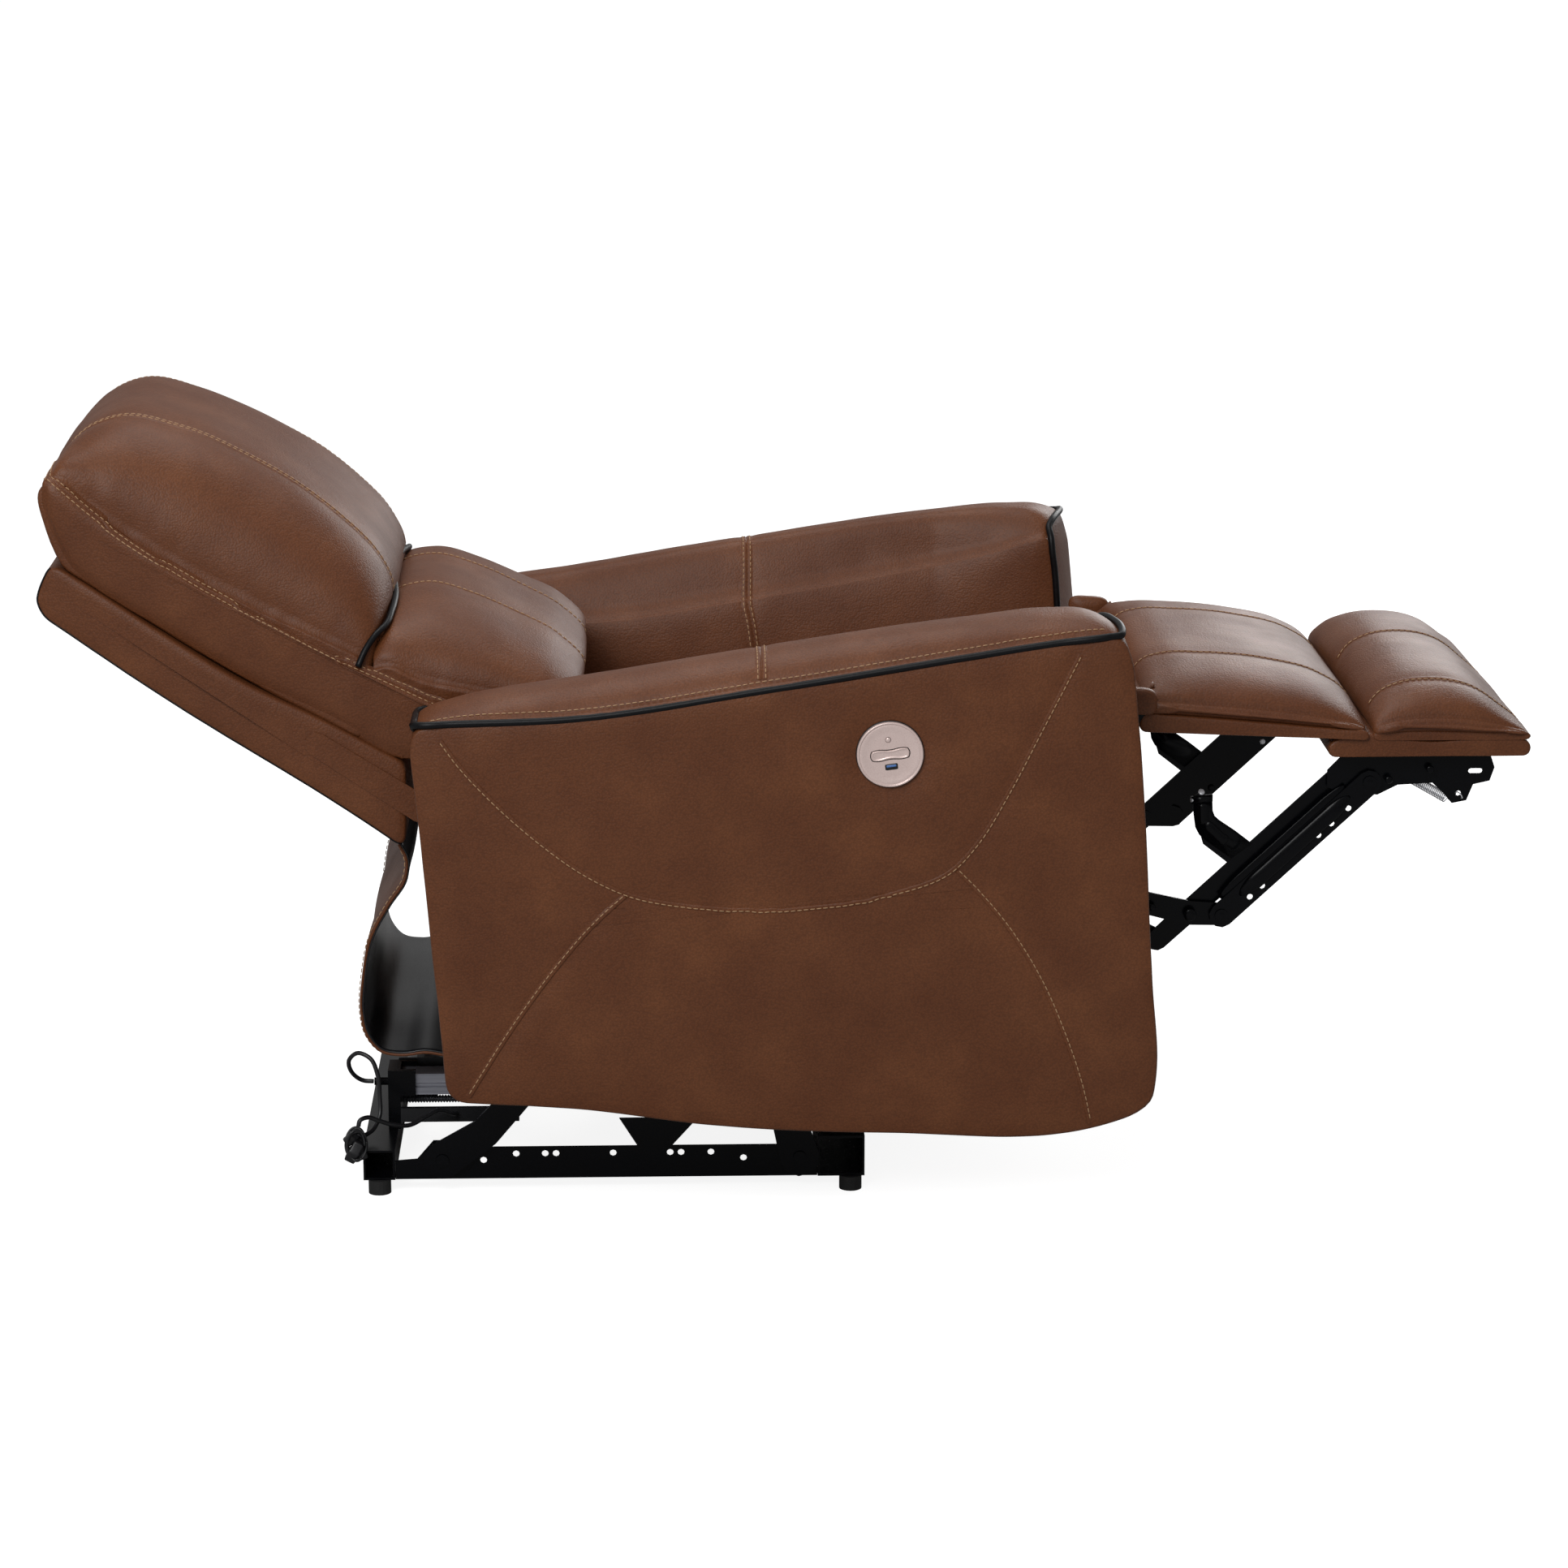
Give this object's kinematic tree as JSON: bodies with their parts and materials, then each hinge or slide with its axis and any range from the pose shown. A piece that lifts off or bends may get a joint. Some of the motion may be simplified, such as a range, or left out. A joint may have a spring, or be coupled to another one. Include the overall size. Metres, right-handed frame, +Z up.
{
  "type": "power recliner chair",
  "caption": "Power recliner armchair, fully reclined with its footrest out, on a low steel base: padded leather arms, seat, back, headrest and footrest over a lever linkage.",
  "frame": {"origin": "on the floor, on the chair's middle plane, midway between the back's rear end and the footrest's tip", "axes": "+X to the footrest, +Y to the sitter's left, +Z up"},
  "size_m": [1.614, 0.7818, 0.863],
  "materials": {
    "leather": "pebbled grain, satin",
    "piping": "smooth black cord piping",
    "painted_steel": "black satin powder coat",
    "zinc_steel": "zinc plated",
    "aluminium": "extruded, satin anodised",
    "black_plastic": "moulded, satin",
    "rubber": "matte",
    "rose_metal": "rose-gold satin",
    "lining": "black lining cloth",
    "board": "plywood, bare underneath"
  },
  "bodies": {
    "base": {"base_rail_left": "painted_steel", "base_rail_right": "painted_steel", "rear_cross_tube": "painted_steel", "front_cross_tube": "painted_steel", "rear_foot_left": "rubber", "rear_foot_right": "rubber", "front_foot_left": "rubber", "front_foot_right": "rubber", "actuator_clevis": "painted_steel", "actuator_channel": "aluminium", "lead_screw": "zinc_steel", "limit_switch_bar": "black_plastic", "motor_housing": "black_plastic", "connector_bundle": "black_plastic", "motor_lead": "black_plastic", "switch_lead": "black_plastic"},
    "rear_links": {"rear_link_left": "painted_steel", "rear_link_right": "painted_steel", "rear_torque_tube": "painted_steel"},
    "front_links": {"front_link_left": "painted_steel", "front_link_right": "painted_steel", "front_torque_tube": "painted_steel"},
    "carriage": {"seat_side_plate_left": "painted_steel", "seat_side_plate_right": "painted_steel", "seat_front_rail": "painted_steel", "seat_rear_rail": "painted_steel", "seat_cushion": "leather", "arm_left": "leather", "arm_right": "leather", "arm_piping_left": "piping", "arm_piping_right": "piping", "control_disc": "rose_metal", "usb_socket": "black_plastic", "indicator_dome": "black_plastic", "back_flap": "lining"},
    "nut": {"nut_block": "black_plastic"},
    "rocker": {"rocker_button": "rose_metal"},
    "back": {"back_shell": "leather", "back_bracket_left": "painted_steel", "back_bracket_right": "painted_steel", "head_pillow": "leather", "lumbar_pillow": "leather", "pillow_piping": "piping"},
    "calf": {"calf_board": "board", "calf_pad": "leather"},
    "foot": {"foot_board": "leather", "foot_pad": "leather", "ottoman_bracket_left": "painted_steel", "ottoman_bracket_right": "painted_steel", "ottoman_spring_left": "zinc_steel", "ottoman_spring_right": "zinc_steel"},
    "lower_links": {"lower_link_left": "painted_steel", "lower_link_right": "painted_steel", "legrest_torque_tube": "painted_steel"},
    "outer_bars": {"outer_bar_left": "painted_steel", "outer_bar_right": "painted_steel"},
    "inner_bars": {"inner_bar_left": "painted_steel", "inner_bar_right": "painted_steel"},
    "support_links": {"support_link_left": "painted_steel", "support_link_right": "painted_steel"}
  },
  "joints": [
    {"name": "recline", "type": "hinge", "parent": "base", "child": "rear_links", "pos_m": [-0.383, 0, 0.04], "axis": [0, -1, 0], "range_deg": [0, 80]},
    {"name": "seat_level", "type": "hinge", "parent": "rear_links", "child": "carriage", "pos_m": [-0.28658, 0, 0.15491], "axis": [0, -1, 0], "range_deg": [-80, 0]},
    {"name": "front_link_pivot", "type": "hinge", "parent": "base", "child": "front_links", "pos_m": [0.011, 0, 0.04], "axis": [0, -1, 0], "range_deg": [0, 80]},
    {"name": "nut_slide", "type": "slide", "parent": "base", "child": "nut", "axis": [-1, 0, 0], "range_m": [0, 0.19284]},
    {"name": "back_hinge", "type": "hinge", "parent": "carriage", "child": "back", "pos_m": [-0.3, 0, 0.4], "axis": [0, 1, 0], "range_deg": [0, 43], "deforming": ["back_flap"]},
    {"name": "legrest", "type": "hinge", "parent": "carriage", "child": "calf", "pos_m": [0.383, 0, 0.5565], "axis": [0, 1, 0], "range_deg": [0, 87]},
    {"name": "crease", "type": "hinge", "parent": "calf", "child": "foot", "pos_m": [0.633, 0, 0.4965], "axis": [0, 1, 0], "range_deg": [0, 4.58]},
    {"name": "lower_link_pivot", "type": "hinge", "parent": "carriage", "child": "lower_links", "pos_m": [0.224, 0, 0.4145], "axis": [0, 1, 0], "range_deg": [0, 85.93]},
    {"name": "outer_bar_pivot", "type": "hinge", "parent": "lower_links", "child": "outer_bars", "pos_m": [0.475, 0, 0.3061], "axis": [0, 1, 0], "range_deg": [-85.18, 0]},
    {"name": "inner_bar_pivot", "type": "hinge", "parent": "lower_links", "child": "inner_bars", "pos_m": [0.4403, 0, 0.3077], "axis": [0, 1, 0], "range_deg": [-83.81, 0]},
    {"name": "support_link_pivot", "type": "hinge", "parent": "carriage", "child": "support_links", "pos_m": [0.189, 0, 0.3855], "axis": [0, 1, 0], "range_deg": [0, 85.2]},
    {"name": "rocker", "type": "hinge", "parent": "carriage", "child": "rocker", "pos_m": [0.101, -0.3915, 0.527], "axis": [-0.1392, 0, 0.9903], "range_deg": [-4, 4], "stiffness_Nm_per_rad": 0.3}
  ],
  "couplings": [
    {"joint": "seat_level", "follows": "recline", "ratio": -1},
    {"joint": "front_link_pivot", "follows": "recline", "ratio": 1},
    {"joint": "nut_slide", "follows": "recline", "m_per_rad": 0.13811},
    {"joint": "back_hinge", "follows": "recline", "ratio": 0.5375},
    {"joint": "crease", "follows": "legrest", "ratio": 0.0526},
    {"joint": "lower_link_pivot", "follows": "legrest", "ratio": 0.98765},
    {"joint": "outer_bar_pivot", "follows": "legrest", "ratio": -0.97904},
    {"joint": "inner_bar_pivot", "follows": "legrest", "ratio": -0.96328},
    {"joint": "support_link_pivot", "follows": "legrest", "ratio": 0.97927}
  ]
}
